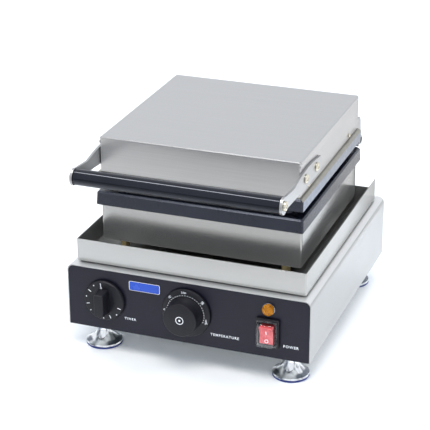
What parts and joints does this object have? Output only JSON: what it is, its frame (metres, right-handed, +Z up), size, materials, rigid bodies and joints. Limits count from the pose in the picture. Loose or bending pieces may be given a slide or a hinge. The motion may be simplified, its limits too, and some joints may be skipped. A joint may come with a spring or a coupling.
{
  "type": "waffle maker",
  "caption": "Counter-top waffle maker: steel base with timer, thermostat, pilot lamp and rocker switch, a drip tray, and hinged cast plates under a steel lid with a bar handle.",
  "frame": {"origin": "on the table, under the middle of the bounding box", "axes": "+Z up; -Y towards the user, the side with the controls and handle; +X to the user's right"},
  "size_m": [0.311, 0.3829, 0.2702],
  "materials": {
    "stainless_steel": "fine brushed",
    "black_cast": "semi-gloss coating",
    "panel_black": "smooth satin",
    "bakelite": "gloss",
    "knob_black": "fine satin",
    "black_plastic": "satin",
    "chrome": "polished",
    "zinc": "zinc plated",
    "brass": "machined",
    "copper": "drawn",
    "heater_sheath": "dull, heat stained",
    "gasket": "matt",
    "foot_pad": "matt",
    "insulation": "fibrous",
    "terminal_ivory": "matt glaze",
    "amber_lens": "clear gloss",
    "red_rocker": "gloss",
    "clear_cap": "soft clear film",
    "badge_blue": "enamel"
  },
  "bodies": {
    "base": {"base_shell": "stainless_steel", "front_panel": "panel_black", "rear_panel": "stainless_steel", "bottom_plate": "zinc", "cable_gland": "black_plastic", "badge_plate": "badge_blue", "tray_gasket": "gasket", "drip_tray": "stainless_steel", "standoff_fl": "brass", "standoff_fr": "brass", "standoff_rl": "brass", "standoff_rr": "brass", "lower_housing": "stainless_steel", "lower_insulation": "insulation", "lower_heater": "heater_sheath", "lower_plate": "black_cast", "hinge_bracket_left": "stainless_steel", "hinge_bracket_right": "stainless_steel", "hinge_tube": "stainless_steel", "timer_case": "zinc", "thermostat_case": "zinc", "thermostat_sensor": "copper", "pilot_bezel": "chrome", "pilot_lens": "amber_lens", "switch_frame": "black_plastic", "switch_cap": "clear_cap", "terminal_block": "terminal_ivory"},
    "lid": {"upper_plate": "black_cast", "upper_insulation": "insulation", "upper_heater": "heater_sheath", "lid_cover": "stainless_steel", "lid_ear_left": "stainless_steel", "lid_ear_right": "stainless_steel", "handle_arm_left": "stainless_steel", "handle_arm_right": "stainless_steel", "handle_grip": "bakelite", "handle_rod": "zinc", "arm_screw_left_front": "zinc", "arm_screw_left_rear": "zinc", "arm_screw_right_front": "zinc", "arm_screw_right_rear": "zinc", "cover_screw_fl": "zinc", "cover_screw_fr": "zinc", "cover_screw_rl": "zinc", "cover_screw_rr": "zinc"},
    "timer_dial": {"timer_knob": "knob_black", "timer_shaft": "zinc"},
    "thermostat_dial": {"thermostat_knob": "knob_black", "thermostat_shaft": "zinc"},
    "rocker": {"power_rocker": "red_rocker"},
    "levelling_foot_fl": {"foot_fl": "chrome", "foot_pad_fl": "foot_pad"},
    "levelling_foot_fr": {"foot_fr": "chrome", "foot_pad_fr": "foot_pad"},
    "levelling_foot_rl": {"foot_rl": "chrome", "foot_pad_rl": "foot_pad"},
    "levelling_foot_rr": {"foot_rr": "chrome", "foot_pad_rr": "foot_pad"}
  },
  "joints": [
    {"name": "lid_hinge", "type": "hinge", "parent": "base", "child": "lid", "pos_m": [0, 0.1525, 0.2046], "axis": [-1, 0, 0], "range_deg": [0, 95]},
    {"name": "timer_turn", "type": "hinge", "parent": "base", "child": "timer_dial", "pos_m": [-0.1055, -0.1545, 0.0765], "axis": [0, 1, 0], "range_deg": [0, 300]},
    {"name": "thermostat_turn", "type": "hinge", "parent": "base", "child": "thermostat_dial", "pos_m": [0.001, -0.1545, 0.078], "axis": [0, 1, 0], "range_deg": [0, 270]},
    {"name": "power_tilt", "type": "hinge", "parent": "base", "child": "rocker", "pos_m": [0.103, -0.1505, 0.0685], "axis": [-1, 0, 0], "range_deg": [0, 18]},
    {"name": "foot_fl_screw", "type": "slide", "parent": "base", "child": "levelling_foot_fl", "axis": [0, 0, -1], "range_m": [0, 0.008]},
    {"name": "foot_fr_screw", "type": "slide", "parent": "base", "child": "levelling_foot_fr", "axis": [0, 0, -1], "range_m": [0, 0.008]},
    {"name": "foot_rl_screw", "type": "slide", "parent": "base", "child": "levelling_foot_rl", "axis": [0, 0, -1], "range_m": [0, 0.008]},
    {"name": "foot_rr_screw", "type": "slide", "parent": "base", "child": "levelling_foot_rr", "axis": [0, 0, -1], "range_m": [0, 0.008]}
  ]
}
